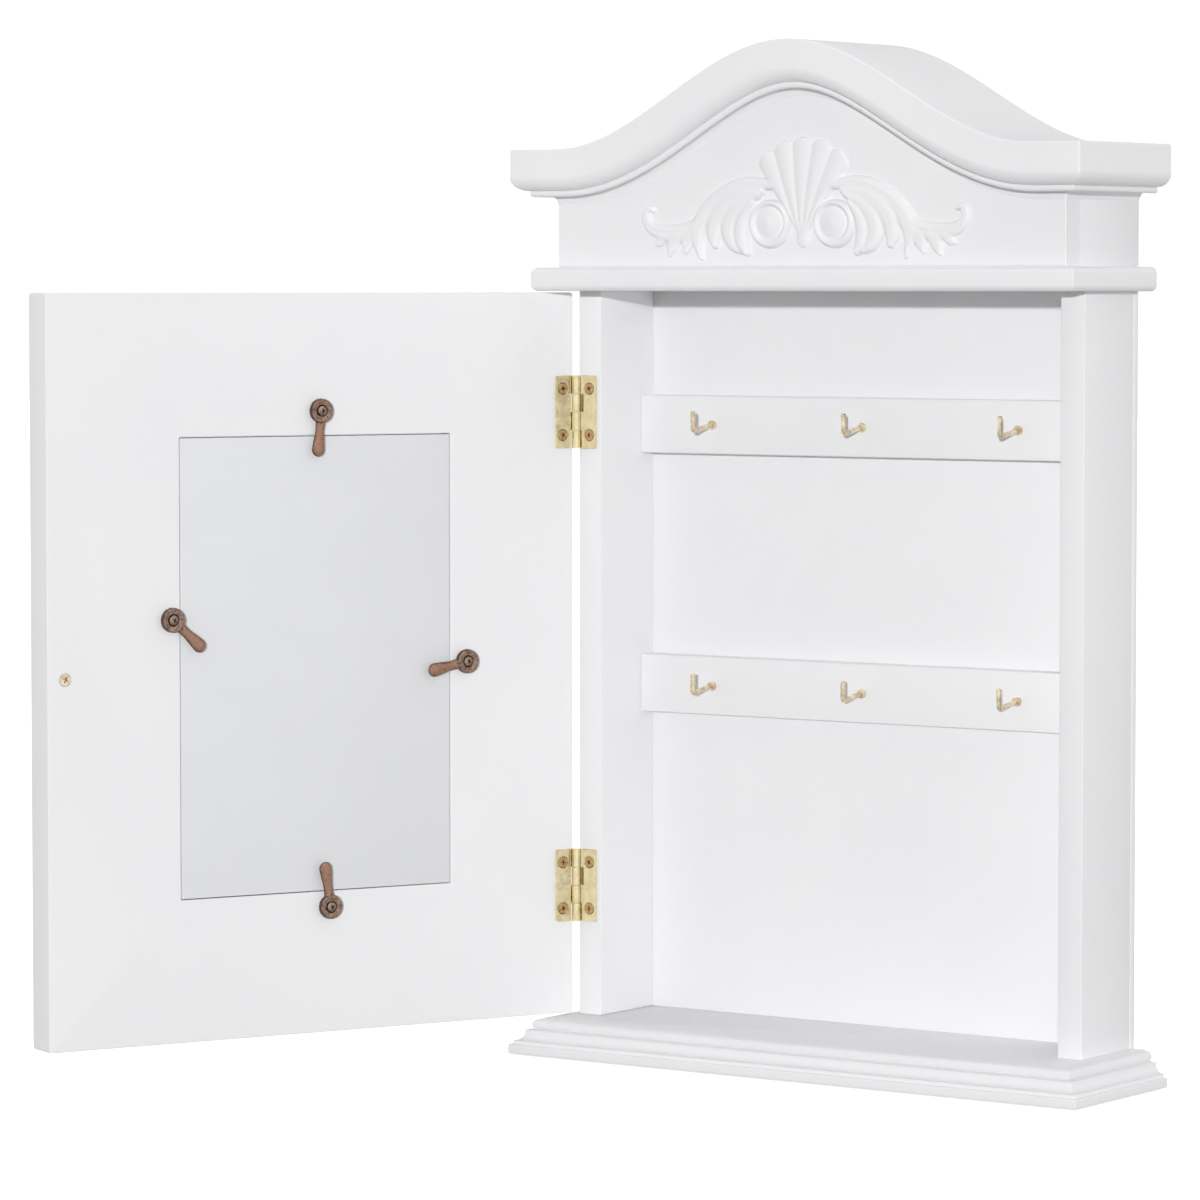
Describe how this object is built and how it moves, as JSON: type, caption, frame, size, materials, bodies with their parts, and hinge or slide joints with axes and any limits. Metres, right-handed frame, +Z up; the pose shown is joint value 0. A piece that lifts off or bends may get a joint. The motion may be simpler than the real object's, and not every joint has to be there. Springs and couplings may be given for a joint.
{
  "type": "key cabinet",
  "caption": "Wall key cabinet with an arched crown, a carved frieze, rails of screw hooks and a hinged door whose picture window is held by turn buttons.",
  "frame": {"origin": "on the wall plane, at the centre of the back panel's rear face", "axes": "+X to the right seen from the front, +Y into the wall, +Z up; the front faces -Y"},
  "size_m": [0.3118, 0.2185, 0.345],
  "materials": {
    "white_paint": "satin white paint over MDF",
    "brass": "polished, lacquered",
    "bronze": "antique bronze",
    "window_glass": "clear",
    "picture_card": "matt card",
    "backing_board": "pale grey hardboard",
    "steel": "zinc plated"
  },
  "bodies": {
    "cabinet": {"back_panel": "white_paint", "left_side_panel": "white_paint", "right_side_panel": "white_paint", "base_board": "white_paint", "belt_board": "white_paint", "frieze_board": "white_paint", "left_frieze_cheek": "white_paint", "right_frieze_cheek": "white_paint", "crown_front_moulding": "white_paint", "crown_left_return": "white_paint", "crown_right_return": "white_paint", "roof_panel": "white_paint", "frieze_carving": "white_paint", "upper_hook_rail": "white_paint", "lower_hook_rail": "white_paint", "upper_hook_left": "brass", "upper_hook_middle": "brass", "upper_hook_right": "brass", "lower_hook_left": "brass", "lower_hook_middle": "brass", "lower_hook_right": "brass", "upper_hinge_frame_leaf": "brass", "upper_hinge_pin": "brass", "upper_hinge_frame_screw_top": "brass", "upper_hinge_frame_screw_bottom": "brass", "lower_hinge_frame_leaf": "brass", "lower_hinge_pin": "brass", "lower_hinge_frame_screw_top": "brass", "lower_hinge_frame_screw_bottom": "brass", "hanging_rail": "white_paint", "hanger_plate_left": "steel", "hanger_plate_right": "steel", "hanger_screw_left_top": "steel", "hanger_screw_left_bottom": "steel", "hanger_screw_right_top": "steel", "hanger_screw_right_bottom": "steel"},
    "door": {"door_panel": "white_paint", "glass_pane": "window_glass", "picture_card": "picture_card", "backing_board": "backing_board", "door_knob": "bronze", "door_knob_screw": "brass", "turn_button_screw_top": "bronze", "turn_button_screw_bottom": "bronze", "turn_button_screw_free_side": "bronze", "turn_button_screw_hinge_side": "bronze", "upper_hinge_door_leaf": "brass", "upper_hinge_door_screw_top": "brass", "upper_hinge_door_screw_bottom": "brass", "lower_hinge_door_leaf": "brass", "lower_hinge_door_screw_top": "brass", "lower_hinge_door_screw_bottom": "brass"},
    "top_turn_button": {"turn_button_top": "bronze"},
    "bottom_turn_button": {"turn_button_bottom": "bronze"},
    "free_side_turn_button": {"turn_button_free_side": "bronze"},
    "hinge_side_turn_button": {"turn_button_hinge_side": "bronze"}
  },
  "joints": [
    {"name": "door_hinge", "type": "hinge", "parent": "cabinet", "child": "door", "pos_m": [-0.1, -0.0368, 0], "axis": [0, 0, -1], "range_deg": [-114, 66]},
    {"name": "top_turn_button_pivot", "type": "hinge", "parent": "door", "child": "top_turn_button", "pos_m": [-0.14164, -0.12663, 0.085], "axis": [0.9135, -0.4067, 0], "continuous": true},
    {"name": "bottom_turn_button_pivot", "type": "hinge", "parent": "door", "child": "bottom_turn_button", "pos_m": [-0.14042, -0.12389, -0.082], "axis": [0.9135, -0.4067, 0], "continuous": true},
    {"name": "free_side_turn_button_pivot", "type": "hinge", "parent": "door", "child": "free_side_turn_button", "pos_m": [-0.16429, -0.17752, 0.0165], "axis": [0.9135, -0.4067, 0], "continuous": true},
    {"name": "hinge_side_turn_button_pivot", "type": "hinge", "parent": "door", "child": "hinge_side_turn_button", "pos_m": [-0.11886, -0.07547, -0.001], "axis": [0.9135, -0.4067, 0], "continuous": true}
  ]
}
